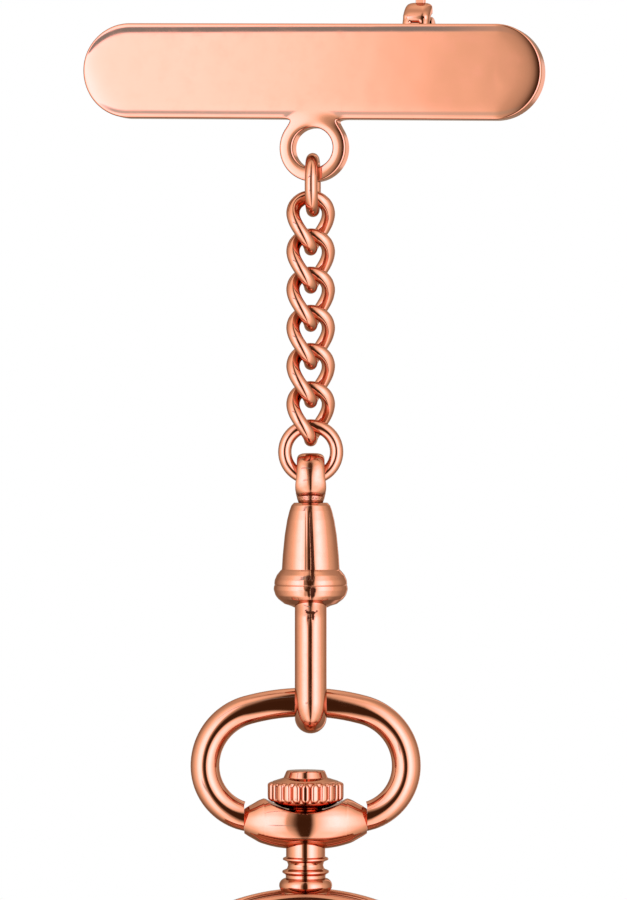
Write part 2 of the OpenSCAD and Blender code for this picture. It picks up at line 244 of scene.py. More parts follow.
def pushed(outline, along, ends):
    """Pushes an outline from one end to the other, along RIGHT, BACK or UP."""
    first = RIGHT if along == BACK else BACK
    second = RIGHT if along == UP else UP
    return swept([(along * end, first, second) for end in ends], outline)


def turned(rows, segments=72, axis="Z"):
    """Turns rows of (distance along the axis, radius). A radius of zero closes an end."""
    rings = []
    for along, radius in rows:
        ring = []
        for i in range(segments):
            t = 2 * math.pi * i / segments
            a, b = radius * math.cos(t), radius * math.sin(t)
            ring.append(Vector({"Z": (a, b, along), "X": (along, a, b), "Y": (b, along, a)}[axis]))
        rings.append(ring)
    return loft(rings)


def moved(shape, offset=(0, 0, 0), matrix=None):
    verts, faces = shape
    offset = Vector(offset)
    return [(matrix @ Vector(v) if matrix else Vector(v)) + offset for v in verts], faces


def joined(*shapes):
    verts, faces = [], []
    for v, f in shapes:
        base = len(verts)
        verts += v
        faces += [tuple(base + i for i in face) for face in f]
    return verts, faces


def hung(shape, x):
    """Moves a shape to the plane that the chain and the watch hang in."""
    return moved(shape, (x, HANG_Y, 0))


def pinned(shape):
    """Turns what the bar carries to the angle that the bar hangs at."""
    return moved(shape, matrix=BAR_MATRIX)


def new_object(name, data):
    obj = bpy.data.objects.new(name, data)
    bpy.context.scene.collection.objects.link(obj)
    return obj


def piece(name, shape, finish, body, nodes, sharp=40, normals=None, bevel=0, even=False,
          marks=None):
    """Makes a piece from a shape and gives it its finish, its body and the nodes it stands for.

    sharp is the angle in degrees from which an edge isn't shaded smooth. bevel rounds the edges,
    even evens out the shading of flat faces, and marks are the points' casting marks."""
    verts, faces = shape
    mesh = bpy.data.meshes.new(name)
    mesh.from_pydata([tuple(c * MM for c in v) for v in verts], [], faces)
    mesh.update()
    mesh.materials.append(finish)
    mesh.shade_smooth()
    obj = new_object(name, mesh)
    if normals:
        mesh.normals_split_custom_set_from_vertices([tuple(n) for n in normals])
    else:
        mesh.set_sharp_from_angle(angle=math.radians(sharp))
    # The casting marks, which the clasp's finish darkens as painted shade and makes rougher
    if marks:
        mesh.attributes.new("casting", "FLOAT", "POINT").data.foreach_set("value", marks)
    if bevel:
        edge = obj.modifiers.new("edges", "BEVEL")
        edge.width = bevel * MM
        edge.segments = 3
        edge.limit_method = "ANGLE"
        edge.angle_limit = math.radians(30)
    if bevel or even:
        face = obj.modifiers.new("even faces", "WEIGHTED_NORMAL")
        face.keep_sharp = True
    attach(obj, body)
    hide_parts(*nodes)
    return obj


def add(tree, kind, inputs=None, **settings):
    """Adds a node, with its settings, its input values and its links."""
    node = tree.nodes.new(kind)
    for key, value in settings.items():
        setattr(node, key, value)
    for key, value in (inputs or {}).items():
        socket = node.inputs[key]
        if isinstance(value, bpy.types.NodeSocket):
            tree.links.new(value, socket)
        else:
            socket.default_value = value
    return node


def math_node(tree, operation, a, b):
    return add(tree, "ShaderNodeMath", {0: a, 1: b}, operation=operation).outputs[0]


def noise_node(tree, place, scale, detail, roughness):
    return add(tree, "ShaderNodeTexNoise", {"Vector": place, "Scale": scale, "Detail": detail,
                                            "Roughness": roughness}).outputs[0]


def ramp(tree, value, stops, smooth="LINEAR"):
    """A ramp from (position, colour) stops."""
    node = add(tree, "ShaderNodeValToRGB", {0: value})
    node.color_ramp.interpolation = smooth
    elements = node.color_ramp.elements
    while len(elements) > 1:
        elements.remove(elements[-1])
    for i, (position, colour) in enumerate(stops):
        element = elements[0] if i == 0 else elements.new(position)
        element.position = position
        element.color = (*colour, 1) if isinstance(colour, tuple) else (colour, colour, colour, 1)
    return node.outputs[0]


def mix_colour(tree, factor, a, b):
    """Mixes two colours. Each is a link or a fixed colour."""
    node = tree.nodes.new("ShaderNodeMix")
    node.data_type = "RGBA"
    for index, value in ((0, factor), (6, a), (7, b)):
        socket = node.inputs[index]
        if isinstance(value, bpy.types.NodeSocket):
            tree.links.new(value, socket)
        else:
            socket.default_value = (*value, 1)
    return node.outputs[2]


def new_group(name, inputs, outputs):
    """An empty node group with float inputs of (name, value) and float outputs of a name."""
    group = bpy.data.node_groups.new(name, "ShaderNodeTree")
    for label, value in inputs:
        socket = group.interface.new_socket(label, in_out="INPUT", socket_type="NodeSocketFloat")
        socket.default_value = value
    for label in outputs:
        group.interface.new_socket(label, in_out="OUTPUT", socket_type="NodeSocketFloat")
    return group, group.nodes.new("NodeGroupInput"), group.nodes.new("NodeGroupOutput")


def polish_group():
    """Hand polish: a slow waviness, hairline scratches in two directions, and small dull spots."""
    group, given, out = new_group("hand polish", [("Scale", 1.0), ("Scratches", 1.0)],
                                  ["Waviness", "Scratch", "Dull"])
    place = group.nodes.new("ShaderNodeTexCoord").outputs["Object"]
    sized = add(group, "ShaderNodeVectorMath", {0: place}, operation="SCALE")
    group.links.new(given.outputs["Scale"], sized.inputs["Scale"])
    wave = noise_node(group, sized.outputs[0], 260.0, 1.0, 0.4)
    lines = []
    for turn, scale in (((0.3, 0.9, 0.4), (2600.0, 90.0, 400.0)),
                        ((1.2, 0.2, 1.0), (120.0, 500.0, 3100.0))):
        spun = add(group, "ShaderNodeMapping", {"Vector": place, "Rotation": turn, "Scale": scale})
        noise = noise_node(group, spun.outputs[0], 1.0, 2.0, 0.7)
        lines.append(ramp(group, noise, [(0.66, 0.0), (0.78, 1.0)]))
    hairlines = math_node(group, "MAXIMUM", lines[0], lines[1])
    spots = noise_node(group, sized.outputs[0], 700.0, 3.0, 0.65)
    dull = ramp(group, spots, [(0.45, 0.0), (0.75, 1.0)])
    scratch = math_node(group, "MULTIPLY", hairlines, given.outputs["Scratches"])
    for key, value in (("Waviness", wave), ("Scratch", scratch), ("Dull", dull)):
        group.links.new(value, out.inputs[key])
    return group


def mark_shade_and_rough_mask(tree):
    """The mask of painted shade in the casting marks, with a broken outline; the same mask makes
    them rougher.
    """
    mark = add(tree, "ShaderNodeAttribute", attribute_name="casting").outputs["Fac"]
    place = tree.nodes.new("ShaderNodeTexCoord").outputs["Object"]
    grain = noise_node(tree, place, 9000.0, 3.0, 0.7)
    centred = math_node(tree, "SUBTRACT", grain, 0.5)
    broken = math_node(tree, "ADD", mark, math_node(tree, "MULTIPLY", centred, 0.9))
    edge = ramp(tree, broken, [(0.42, 0), (0.62, 1)])
    inside = ramp(tree, mark, [(0.05, 0), (0.3, 1)])
    return math_node(tree, "MULTIPLY", edge, inside)


def rose_metal(name, polish, rough, colour=ROSE, dull=DEEP_ROSE, scratches=1.0, wave=0.02,
               scale=1.0, marked=False):
    """Polished rose gold plate. dull is the colour of its dull spots, wave is the height of its
    waviness in millimetres, scale makes both finer, and marked paints shade into the casting marks
    as a dark brown and makes them rougher."""
    material = bpy.data.materials.new(name)
    material.use_nodes = True
    tree = material.node_tree
    shader = tree.nodes["Principled BSDF"]
    shader.inputs["Metallic"].default_value = 1.0
    shader.inputs["Specular Tint"].default_value = EDGE_TINT
    worn = tree.nodes.new("ShaderNodeGroup")
    worn.node_tree = polish
    worn.inputs["Scale"].default_value = scale
    worn.inputs["Scratches"].default_value = scratches
    waviness, scratch, spots = (worn.outputs[key] for key in ("Waviness", "Scratch", "Dull"))
    base = mix_colour(tree, spots, colour, dull)
    spread = add(tree, "ShaderNodeMapRange", {"Value": spots, "To Min": rough, "To Max": rough * 2})
    scratched = math_node(tree, "MULTIPLY", scratch, SCRATCH_ROUGH)
    roughness = math_node(tree, "ADD", spread.outputs[0], scratched)
    slow = add(tree, "ShaderNodeBump", {"Height": waviness, "Distance": wave * MM, "Strength": 1.0})
    fine = add(tree, "ShaderNodeBump", {"Height": scratch, "Distance": SCRATCH * MM,
                                        "Strength": 0.5, "Normal": slow.outputs[0]})
    # Painted shade: the casting marks are darkened with a dark brown, and made rougher
    if marked:
        mask = mark_shade_and_rough_mask(tree)
        base = mix_colour(tree, mask, base, MARK_SHADE)
        rougher_marks = math_node(tree, "MULTIPLY", mask, MARK_ROUGH)
        roughness = math_node(tree, "ADD", roughness, rougher_marks)
    tree.links.new(base, shader.inputs["Base Color"])
    tree.links.new(roughness, shader.inputs["Roughness"])
    tree.links.new(fine.outputs[0], shader.inputs["Normal"])
    return material


def smooth_min(a, b, blend):
    h = max(blend - abs(a - b), 0) / blend
    return min(a, b) - h * h * blend / 4


def plate_distance(x, z):
    """Distance outside the bar and its eye, with a fillet where they meet."""
    bar = math.hypot(max(abs(x) - BAR_HALF, 0), z) - BAR_ARC
    eye = math.hypot(x - EYE[0], z - EYE[1]) - EYE_OUT
    return smooth_min(bar, eye, EYE_FILLET)


def hole_distance(x, z):
    return EYE_HOLE - math.hypot(x - EYE[0], z - EYE[1])


def outline_distance(x, z):
    return max(plate_distance(x, z), hole_distance(x, z))


def cut_distance(x, z):
    """Distance outside the flat front, which ends inside the plate's round edge."""
    return outline_distance(x, z) + BAR_EDGE


def pillow(depth, angle, reach):
    """Drop of a softly rounded border: the angle is its slope at the edge and fades over the
    reach."""
    return math.tan(math.radians(angle)) * reach * math.exp(-max(depth, 0) / reach)


def plate_height(x, z):
    """Height of the front over the bar's back: flat, and softly rounded towards each edge."""
    low, eye = ease(-1.5, 1.5, -z), ease(3, 6.4, -z)
    past = max(x - BAR_HALF, 0)
    end = past * past / (past * past + z * z + 1e-6)
    angle, reach = ((b["upper"] + b["lower"] * low + b["eye"] * eye) * (1 - end) + b["end"] * end
                    for b in (BORDER_ANGLE, BORDER_REACH))
    border = pillow(-plate_distance(x, z), angle, reach)
    hole_border = pillow(-hole_distance(x, z), BORDER_ANGLE["hole"], BORDER_REACH["hole"])
    return BAR_THICK - EYE_FRONT * ease(2.6, 6.4, -z) - border - hole_border


def plate_back(z):
    """The eye is a little thinner than the bar at its back."""
    return -EYE_BACK * ease(4.3, 5.6, -z)


def slope(field, x, z):
    d = 0.01
    return ((field(x + d, z) - field(x - d, z)) / (2 * d),
            (field(x, z + d) - field(x, z - d)) / (2 * d))


def outline_point(inside, outside):
    """The point of the cut line between a point inside it and one outside."""
    def point(t):
        return tuple(a + (b - a) * t for a, b in zip(inside, outside))

    low, high = 0.0, 1.0
    for _ in range(14):
        t = (low + high) / 2
        if cut_distance(*point(t)) < 0:
            low = t
        else:
            high = t
    return point(low)


def cut_grid():
    """The front as square cells that are cut along its outline: its points and its cells."""
    margin = 0.1
    x0, z0 = -BAR_HALF - BAR_ARC - margin, EYE[1] - EYE_OUT - margin
    columns = math.ceil((-2 * x0) / BAR_GRID)
    rows = math.ceil((BAR_ARC + margin - z0) / BAR_GRID)
    points, index, cells = [], {}, []

    def place(p):
        return x0 + p[0] * BAR_GRID, z0 + p[1] * BAR_GRID

    def number(key, point):
        if key not in index:
            index[key] = len(points)
            points.append(point())
        return index[key]

    inner = {(i, j): cut_distance(*place((i, j))) < 0
             for i in range(columns + 1) for j in range(rows + 1)}
    for i in range(columns):
        for j in range(rows):
            loop = [(i, j), (i + 1, j), (i + 1, j + 1), (i, j + 1)]
            cell = []
            for p, q in zip(loop, loop[1:] + loop[:1]):
                if inner[p]:
                    cell.append(number(p, lambda: place(p)))
                if inner[p] != inner[q]:
                    ends = (place(p), place(q)) if inner[p] else (place(q), place(p))
                    cell.append(number((min(p, q), max(p, q)), lambda: outline_point(*ends)))
            if len(cell) > 2:
                cells.append(tuple(cell))
    return points, cells


def plate_shape():
    """The stamped plate: its front, a fine round edge, a wall, and a back. Also its normals."""
    points, cells = cut_grid()
    edges = [edge for cell in cells for edge in zip(cell, cell[1:] + cell[:1])]
    once = set(edges)
    rim = [(a, b) for a, b in edges if (b, a) not in once]
    verts, normals = [], []
    for x, z in points:
        gx, gz = slope(plate_height, x, z)
        verts.append(Vector((x, -plate_height(x, z), z)))
        normals.append(Vector((-gx, -1, -gz)).normalized())
    count = len(points)
    verts += [Vector((x, plate_back(z), z)) for x, z in points]
    normals += [BACK] * count
    faces = cells + [tuple(count + v for v in reversed(cell)) for cell in cells]
    outward = {}
    for v in sorted({v for edge in rim for v in edge}):
        gx, gz = slope(outline_distance, *points[v])
        size = math.hypot(gx, gz)
        outward[v] = (gx / size, gz / size)
    chain = [{v: v for v in outward}]
    lean, sink = 0.16, 0.985
    for front, angle in ([(True, a) for a in (30, 50, 70, 90)]
                         + [(False, a) for a in (90, 60, 30)]):
        s, c = math.sin(math.radians(angle)), math.cos(math.radians(angle))
        level = {}
        for v, (gx, gz) in outward.items():
            x, z = points[v]
            if front:
                out = BAR_EDGE * (s - lean) / (1 - lean)
                y = -plate_height(x, z) + BAR_EDGE * (sink - c)
            else:
                out, y = BAR_EDGE * s, plate_back(z) - BAR_EDGE * (1 - c)
            level[v] = len(verts)
            verts.append(Vector((x + gx * out, y, z + gz * out)))
            normals.append(Vector((gx * s, -c if front else c, gz * s)).normalized())
        chain.append(level)
    chain.append({v: count + v for v in outward})
    for near, far in zip(chain, chain[1:]):
        faces += [(near[b], near[a], far[a], far[b]) for a, b in rim]
    return (verts, faces), normals


def bar_and_eye(finish):
    shape, normals = plate_shape()
    piece("bar_front", pinned(shape), finish, "bar_and_chain", ["bar_plate"],
          normals=[BAR_MATRIX @ n for n in normals])


def stepped_in(v):
    """Sets the catch ring's foot in, just over the bar, with a small arch in its middle."""
    out = Vector((0, v.y - CATCH[1], v.z - CATCH[2]))
    if v.y >= CATCH[1] or out.length <= 2.3 or v.z >= 5.1:
        return v
    foot = ease(4.95, 4.8, v.z)
    arch = ease(0.5, 0.36, abs(v.x - CATCH[0])) * ease(4.62, 4.5, v.z)
    return v - out.normalized() * (0.16 * foot + 0.24 * arch)


def catch_housing(finish):
    """The catch's fixed ring, crowned like a barrel, and open from behind its tab down to the
    back."""
    power, rise, low, corner = 3.4, 0.6, -0.1, 0.12
    section = []
    for i in range(33):
        b = CATCH_HALF * math.sin(math.radians(-90 + 180 * i / 32))
        crowned = (1 - min(abs(b) / CATCH_HALF, 1) ** power) ** (1 / power)
        section.append((low + rise * crowned, b))
    section += arc((-0.38, CATCH_HALF - corner), corner, 90, 180, 4)
    section += arc((-0.38, corner - CATCH_HALF), corner, 180, 270, 4)
    path = wheel_path(CATCH, 0.5 * (CATCH_OUT + CATCH_IN), 102, 238, 96)
    verts, faces = swept(path, section)
    seat = moved(pushed(soft_box(0.2, CATCH_HALF, 0.1), UP, (0.6, 3.8)), (CATCH[0], 0, 0))
    shape = joined(([stepped_in(v) for v in verts], faces), seat)
    piece("catch_ring", pinned(shape), finish, "bar_and_chain", ["bar_plate"],
          even=True)


def pin_hinge(finish):
    """The root of the pin: a foot with two leaves, one over and one under the stem."""
    outline = filleted([(-0.05, 2.3), (3.6, 2.3, 0.25), (3.6, 2.9, 0.1), (1.35, 2.9, 0.1),
                        (1.35, 3.7, 0.1), (3.6, 3.7, 0.1), (3.6, 4.02, 0.2), (-0.05, 4.02)], 4)
    half = 1.35
    block = pushed(outline, RIGHT, (PIN_ROOT - half, PIN_ROOT + half))
    piece("pin_hinge", pinned(block), finish, "bar_and_chain", ["bar_plate"],
          bevel=0.1)


def pin_stem(finish):
    """The pin: a disc on a rivet, and a stem that tapers to its point in the catch."""
    y, z = CATCH[1], CATCH[2]
    first = PIN_ROOT + 1.2
    length = PIN_TIP - PIN_ROOT - 1.2
    rows = [(PIN_ROOT + 0.6, 0), (PIN_ROOT + 0.6, 0.34), (first, PIN_R)]
    rows += [(first + length * t, PIN_R - 0.05 * t ** 2) for t in (0.2, 0.4, 0.6, 0.8, 0.88)]
    rows += [(PIN_TIP - 1.6, 0.32), (PIN_TIP - 0.9, 0.22), (PIN_TIP - 0.3, 0.1), (PIN_TIP, 0.03),
             (PIN_TIP, 0)]
    stem = moved(turned(rows, 32, "X"), (0, y, z))
    half_disc = [(0.24, 1.1), (0.32, 1.06), (0.35, 0.98), (0.35, 0)]
    disc = turned([(z - a, r) for a, r in half_disc[::-1]] + [(z + a, r) for a, r in half_disc], 40)
    rivet = turned([(2.45, 0), (2.45, 0.3), (2.5, 0.34), (3.9, 0.34), (3.95, 0.3), (3.95, 0)], 28)
    shape = joined(stem, moved(joined(disc, rivet), (PIN_ROOT, y, 0)))
    piece("pin_stem_polished", pinned(shape), finish, "bar_and_chain", ["pin_stem"],
          even=True)


def catch_roll(finish):
    """The catch's turning part: a slotted roll with a thumb tab that stands over the bar."""
    slot, half_slot = 150, 24
    path = wheel_path(CATCH, 0.5 * (ROLL_OUT + ROLL_IN), slot + half_slot, 360 - 2 * half_slot, 56)
    roll = swept(path, soft_box(0.5 * (ROLL_OUT - ROLL_IN), CATCH_HALF, 0.16))
    top, half, thick = 4.395, 0.4, 0.35
    outline = [(-half, 0.9)] + arc((0, top - half), half, 180, 0, 12) + [(half, 0.9)]
    tab = moved(pushed(outline, BACK, (thick, -thick)), CATCH)
    piece("catch_roll", pinned(roll), finish, "catch", ["catch_lever"], even=True)
    piece("catch_tab", pinned(tab), finish, "catch", ["catch_lever"], bevel=0.12)


def connecting_link(finish):
    """The plain link between the eye and the chain, a long oval seen edge-on."""
    bend = JOIN["bend"]
    path = (wheel_path((0, 0, JOIN["top"] - bend), bend, 0, 180, 36)
            + wheel_path((0, 0, JOIN["low"] + bend), bend, 180, 180, 36))
    shape = moved(swept(path, arc((0, 0), JOIN["wire"], 0, 345, 23), True),
                  matrix=Matrix.Rotation(JOIN["turn"], 3, "Z"))
    piece("join_link", hung(shape, JOIN["x"]), finish, "bar_and_chain",
          ["connecting_link"])


def curb_point(f):
    """A point of a curb link's middle line, at the angle f round its oval."""
    t = math.radians(45 * (1 - math.sin(f)))
    across = CURB["b"] * math.cos(f)
    return Vector((across * math.cos(t), across * math.sin(t), CURB["a"] * math.sin(f)))


def curb_chain(finish):
    """Six twisted curb links. Each link's oval turns by a quarter from its top to its bottom."""
    path = []
    steps = 96
    for i in range(steps):
        f = math.pi / 2 + 2 * math.pi * i / steps
        point = curb_point(f)
        along = (curb_point(f + 0.02) - curb_point(f - 0.02)).normalized()
        out = point.normalized()
        u = (out - along * out.dot(along)).normalized()
        path.append((point, u, along.cross(u)))
    link = swept(path, arc((0, 0), CURB["wire"], 0, 342, 19), True)
    for n in range(CURB["count"]):
        lowered = moved(link, (0, 0, CURB["z"] - n * CURB["pitch"]))
        piece("curb_%d" % (n + 1), hung(lowered, CHAIN_X), finish, "bar_and_chain",
              ["curb_link_%d" % (n + 1)])


def jump_ring(finish):
    path = []
    for i in range(72):
        t = 2 * math.pi * i / 72
        out = Vector((math.cos(t), 0, math.sin(t)))
        path.append((Vector((0, 0, RING["z"])) + out * RING["r"], out, BACK))
    shape = swept(path, arc((0, 0), RING["wire"], 0, 345, 23), True)
    piece("jump_ring_wire", hung(shape, CHAIN_X), finish, "bar_and_chain",
          ["jump_ring"])


def swivel_eye(finish):
    """A thick eye seen edge-on, whose hole is below its middle, on a shank that enters the
    bell. The front of its foot is left rough from the casting and darkened with painted shade."""
    half_widths = [(-37.1, 1.1), (-36.8, 1.26), (-36.4, 1.33), (-35.8, 1.33), (-35.0, 1.26),
                   (-33.8, 1.22), (-32.9, 1.2)]
    lift = SWIVEL["z"] - SWIVEL["hole_z"]
    rings = []
    for i in range(96):
        t = 2 * math.pi * i / 96
        out = Vector((0, math.cos(t), math.sin(t)))
        fall = -lift * out.z
        reach = -fall + math.sqrt(fall * fall - lift * lift + SWIVEL["r"] ** 2)
        middle, half = (reach + SWIVEL["hole"]) / 2, (reach - SWIVEL["hole"]) / 2
        centre = Vector((0, 0, SWIVEL["hole_z"])) + out * middle
        wide = between(half_widths, SWIVEL["hole_z"] + reach * out.z)
        power = 2.1 + 1.4 * max(out.z, 0) ** 2 - 0.5 * max(-out.y, 0) ** 2
        rings.append([centre + out * a + RIGHT * b
                      for a, b in superellipse(half, wide, power, 48)])
    shank = turned(filleted([(-39.3, 0), (-39.3, 1.4, 0.1), (-38.6, 1.4, 0.1), (-38.5, 1.04),
                             (-37.3, 1.04, 0.1), (-36.95, 1.17, 0.2), (-36.4, 1.3, 0.2),
                             (-36.1, 1.25, 0.1), (-36.0, 0)], 5))
    verts, faces = joined(loft(rings, True), shank)
    # The foot's front: rougher, and darkened with painted shade where it enters the bell
    rough_shaded_foot = [0.48 * ease(-36.1, -36.5, v.z) if v.y < 0.3 else 0 for v in verts]
    piece("swivel_loop", hung((verts, faces), CHAIN_X), finish, "bar_and_chain",
          ["swivel_eye"], marks=rough_shaded_foot)


def casting_marks(x, z):
    """The clasp's casting marks down the middle of its front: above 0 in a groove, and below 0 on
    a raised line. Each row is (x, z, half width, half height, depth)."""
    marks = [(0.14, -43.5, 0.16, 0.5, 1.0), (-0.18, -43.75, 0.12, 0.24, 0.9),
             (0.6, -43.42, 0.35, 0.1, 0.45), (0.2, -44.75, 0.24, 0.32, 1.2),
             (0.12, -45.2, 0.14, 0.28, 0.9), (0.06, -45.8, 0.07, 0.4, 0.6),
             (-0.62, -44.0, 0.07, 0.75, -0.5), (-0.4, -45.3, 0.06, 0.45, 0.3),
             (-0.5, -44.75, 0.12, 0.12, -0.5), (0.0, -46.66, 0.5, 0.1, 1.1),
             (-0.4, -46.5, 0.14, 0.08, 0.8), (0.55, -46.5, 0.1, 0.12, 0.8),
             (-0.2, -47.15, 0.11, 0.45, 0.9), (0.2, -47.0, 0.14, 0.45, 1.0)]
    on_bell = ease(-37.6, -38.4, z) * ease(-43.4, -43.0, z)
    seam_x = 0.02 - 0.045 * (z + 40)
    seam = 0.9 * bell_curve(x - seam_x, 0.06 + 0.016 * max(-38 - z, 0))
    second_seam = 0.42 * bell_curve(x + 0.4, 0.045)
    spots = sum(d * bell_curve(x - u, a) * bell_curve(z - w, b) for u, w, a, b, d in marks)
    return (seam + second_seam) * on_bell + spots


def clasp_bell(finish):
    """The bell over its collar, turned, with the casting marks pressed into its front."""
    rows = filleted([(-37.25, 1.12), (-37.25, 1.45, 0.15), (-37.5, 1.68, 0.3),
                     (-37.95, 1.84, 0.4), (-38.75, 2.04, 1.2), (-40.05, 2.25, 2),
                     (-41.78, 2.42, 2), (-43.02, 2.5, 0.15), (-43.12, 2.62, 0.1),
                     (-43.5, 2.93, 0.5), (-43.95, 3.12, 0.6), (-44.3, 3.15, 0.15),
                     (-44.37, 3.1, 0.04), (-44.43, 3.17, 0.06), (-44.75, 3.21, 0.4),
                     (-45.28, 3.04, 0.5), (-45.6, 2.78, 0.5), (-46.0, 2.26, 0.4),
                     (-46.18, 1.7, 0.2), (-46.3, 1.45, 0.1), (-46.4, 0)], 6)
    fine = [(-38.0, 1.1), rows[0]]
    for (z0, r0), (z1, r1) in zip(rows, rows[1:]):
        longest = 0.09 if z0 < -42.9 and r0 > 1 else 0.2
        steps = max(1, math.ceil(math.hypot(z1 - z0, r1 - r0) / longest))
        fine += [(z0 + (z1 - z0) * k / steps, r0 + (r1 - r0) * k / steps)
                 for k in range(1, steps + 1)]
    verts, faces = turned(fine, 240)
    marks = [casting_marks(v.x, v.z) if v.y < 0 else 0 for v in verts]
    deep = 0.02
    bell = [Vector((v.x, v.y * (1 - deep * m / max(math.hypot(v.x, v.y), 1)), v.z))
            for v, m in zip(verts, marks)]
    piece("clasp_bell", hung((bell, faces), CHAIN_X), finish, "clasp",
          ["clasp_body"], sharp=60, marks=marks)


def clasp_hook(finish):
    """The half-round hook under the collar, up to where the gate shuts it."""
    root, below_marks = -44.6, -51.0
    path = []
    for k in range(50):
        z = root - 0.08 * k
        set_in = 0.6 * ease(-47.3, -45.6, z)
        path.append((Vector((0, set_in - HOOK["r"], z)), FRONT, RIGHT))
    path.append((Vector((0, -HOOK["r"], below_marks)), FRONT, RIGHT))
    path += wheel_path((0, 0, HOOK["z"]), HOOK["r"], 180, 180, 48)
    path += [(Vector((0, HOOK["r"], z)), BACK, RIGHT) for z in (GATE_TIP - 0.6, GATE_TIP - 0.02)]
    verts, faces = swept(path, half_round(HOOK["half"], 0.16))
    marks = [casting_marks(v.x, v.z) if v.y < -2 else 0 for v in verts]
    deep = 0.025
    hook = [v + BACK * (deep * m) for v, m in zip(verts, marks)]
    piece("clasp_hook", hung((hook, faces), CHAIN_X), finish, "clasp",
          ["clasp_body"], sharp=60, marks=marks)


def clasp_ears(finish):
    """The two ears that hold the gate's rivet."""
    round_end = 0.75
    outline = arc((0, GATE_Z), round_end, 180, 360, 14) + [(round_end, -45.2), (-round_end, -45.2)]
    ear = pushed(outline, RIGHT, (-0.37, 0.37))
    ears = joined(*(moved(ear, (side * 0.98, GATE_Y, 0)) for side in (-1, 1)))
    piece("clasp_ears", hung(ears, CHAIN_X), finish, "clasp", ["clasp_body"],
          bevel=0.1)


def gate(finish):
    """The gate: a knuckle on its rivet, and a leaf that shuts the hook."""
    half, r = 0.55, 0.75
    knuckle = turned(filleted([(-half, 0), (-half, r, 0.1), (half, r, 0.1), (half, 0)], 3), 40, "X")
    half, r = 1.3, 0.24
    rivet = turned(filleted([(-half, 0), (-half, r, 0.06), (half, r, 0.06), (half, 0)], 3), 28, "X")
    outline = [(-0.55, GATE_Z), (-0.55, GATE_Z - 1.1), (-1.2, GATE_Z - 1.45),
               (-1.2, GATE_TIP + 0.3), (-1.0, GATE_TIP + 0.06)]
    outline += [(-x, z) for x, z in outline[::-1]]
    leaf = pushed(outline[::-1], BACK, (1.72, 2.78))
    turning = moved(joined(knuckle, rivet), (0, GATE_Y, GATE_Z))
    piece("gate_knuckle", hung(turning, CHAIN_X), finish, "gate", ["hook_gate"],
          even=True)
    piece("gate_leaf", hung(leaf, CHAIN_X), finish, "gate", ["hook_gate"],
          bevel=0.15)


def bow_path():
    """The bow's wire from its right end over its crest to its left end, as (x, z, outward x,
    outward z): a tight lower arc, a side arc and a flat crest that run into each other."""
    a, z, side, low = BOW["a"], BOW["z"], BOW["side"], BOW["low"]
    top = z + BOW["b"]
    crest = ((a - side) ** 2 + BOW["b"] ** 2 - side ** 2) / (2 * (BOW["b"] - side))
    crest_end = -math.degrees(math.atan2(BOW["b"] - crest, a - side))
    first = -math.degrees(math.acos((BOW["face"] - (a - low)) / low))
    spans = [((a - low, z), low, first, 0, 20), ((a - side, z), side, 0, crest_end, 22),
             ((0, top - crest), crest, crest_end, 90, 10)]
    rows = []
    for centre, radius, start, end, steps in spans:
        for i in range(1 if rows else 0, steps + 1):
            t = math.radians(start + (end - start) * i / steps)
            u, w = math.cos(t), math.sin(t)
            rows.append((centre[0] + radius * u, centre[1] + radius * w, u, w))
    # The end is cut flat, square to the pendant
    rows[0] = (BOW["face"], rows[0][1], 0, -1.03)
    return rows + [(-x, y, -u, w) for x, y, u, w in reversed(rows[:-1])]


def bow(finish):
    """The bow's wire, with a pivot at each end that sits in the pendant."""
    path = [(Vector((x, 0, z)), Vector((u, 0, w)), FRONT) for x, z, u, w in bow_path()]
    ring = swept(path, arc((0, 0), BOW["wire"], 0, 350, 35))
    half, r = 0.9, 0.5
    pivot = turned([(-half, 0), (-half, r), (half, r), (half, 0)], 24, "X")
    pivots = [moved(pivot, (side * BOW["face"], 0, PIVOT_Z)) for side in (-1, 1)]
    piece("bow_ring", hung(joined(ring, *pivots), WATCH_X), finish, "bow", ["bow"])


def barrel_ring(x):
    """The pendant's section at x: an ellipse whose top is cut level by the saddle, with a soft
    rim."""
    height = between([(-1.44, 2.37), (0, 2.42), (1.44, 2.37), (2.3, 2.28), (3.0, 2.14), (3.5, 2.0),
                      (4.0, 1.83), (4.55, 1.52), (4.94, 1.3), (5.3, 1.06)], abs(x))
    depth = math.sqrt(BARREL["bulge"] ** 2 - x * x) - BARREL["inside"]
    middle = BARREL["z"]
    cut = SADDLE_Z + SADDLE_R - math.sqrt(SADDLE_R ** 2 - x * x)
    rim = math.asin(min((cut - middle) / height, 1))
    y, z = depth * math.cos(rim), middle + height * math.sin(rim)
    soft = min(BARREL["rim"], 0.4 * y)
    first = rim - soft / max(depth, height)
    outer = []
    for i in range(37):
        t = first - (first + math.pi / 2) * i / 36
        outer.append((depth * math.cos(t), middle + height * math.sin(t)))
    inner = [((y - soft) * (1 - i / 12), z) for i in range(13)]
    start, end, corner = Vector(outer[0]), Vector(inner[0]), Vector((y, z))
    turn = [tuple((1 - u) ** 2 * end + 2 * u * (1 - u) * corner + u * u * start)
            for u in (0.2, 0.4, 0.6, 0.8)]
    right = inner[::-1] + turn + outer
    left = [(-a, b) for a, b in right[-2:0:-1]]
    return [Vector((x, a, b)) for a, b in right + left]


def pendant_barrel(finish):
    """The barrel between the bow's ends, hollowed under the crown."""
    places = [BARREL["half"] * math.sin(math.radians(90 * i / 48)) for i in range(-48, 49)]
    barrel = loft([barrel_ring(x) for x in places][::-1])
    piece("pendant_barrel", hung(barrel, WATCH_X), finish, "watch", ["pendant"],
          sharp=60)


